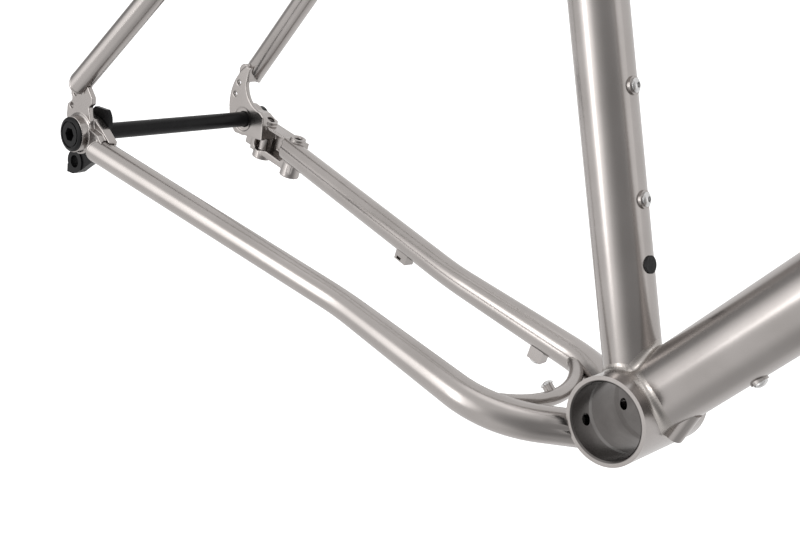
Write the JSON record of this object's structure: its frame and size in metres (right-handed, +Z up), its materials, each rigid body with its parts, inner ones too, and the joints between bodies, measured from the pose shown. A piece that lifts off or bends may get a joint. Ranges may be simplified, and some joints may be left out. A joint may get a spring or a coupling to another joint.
{
  "type": "bicycle frame",
  "caption": "Titanium bicycle frame for disc brakes and a bolt-through rear axle, with its axle, derailleur hanger, bottle bolts, guides and seat collar.",
  "frame": {"origin": "centre of the bottom bracket shell", "axes": "+X forward, +Y to the rider's left, the side without the chain, +Z up with the frame standing as ridden"},
  "size_m": [0.9202, 0.186, 0.6232],
  "materials": {
    "titanium": "satin brushed bare titanium, warm grey",
    "steel": "bright stainless steel",
    "black_anodised": "satin black anodised",
    "black_rubber": "matte"
  },
  "bodies": {
    "root": {"bb_shell": "titanium", "seat_tube": "titanium", "down_tube": "titanium", "top_tube": "titanium", "head_tube": "titanium", "chainstay_right": "titanium", "chainstay_left": "titanium", "seatstay_right": "titanium", "seatstay_left": "titanium", "chainstay_bridge": "titanium", "seatstay_bridge": "titanium", "dropout_right": "titanium", "dropout_left": "titanium", "seat_tube_bosses": "titanium", "down_tube_bosses": "titanium", "underside_boss": "titanium", "cable_port": "titanium", "hose_guide_rear": "titanium", "hose_guide_front": "titanium", "bridge_bosses": "titanium", "seat_tube_bolts": "steel", "down_tube_bolts": "steel", "underside_bolt": "steel", "guide_screw": "steel", "bridge_bolts": "steel", "collar_bolt": "steel", "collar_nut": "steel", "derailleur_hanger": "black_anodised", "hanger_screw": "black_anodised", "axle_nut": "black_anodised", "seat_collar": "black_anodised", "port_grommet": "black_rubber", "seat_tube_plug": "black_rubber"},
    "axle_washer": {"axle_washer": "black_anodised"},
    "thru_axle": {"thru_axle": "black_anodised"}
  },
  "joints": [
    {"name": "axle_pull", "type": "slide", "parent": "root", "child": "axle_washer", "axis": [0, 1, 0], "range_m": [0, 0.18]},
    {"name": "axle_turn", "type": "hinge", "parent": "axle_washer", "child": "thru_axle", "pos_m": [-0.43356, 0.087, 0.075], "axis": [0, -1, 0], "continuous": true}
  ]
}
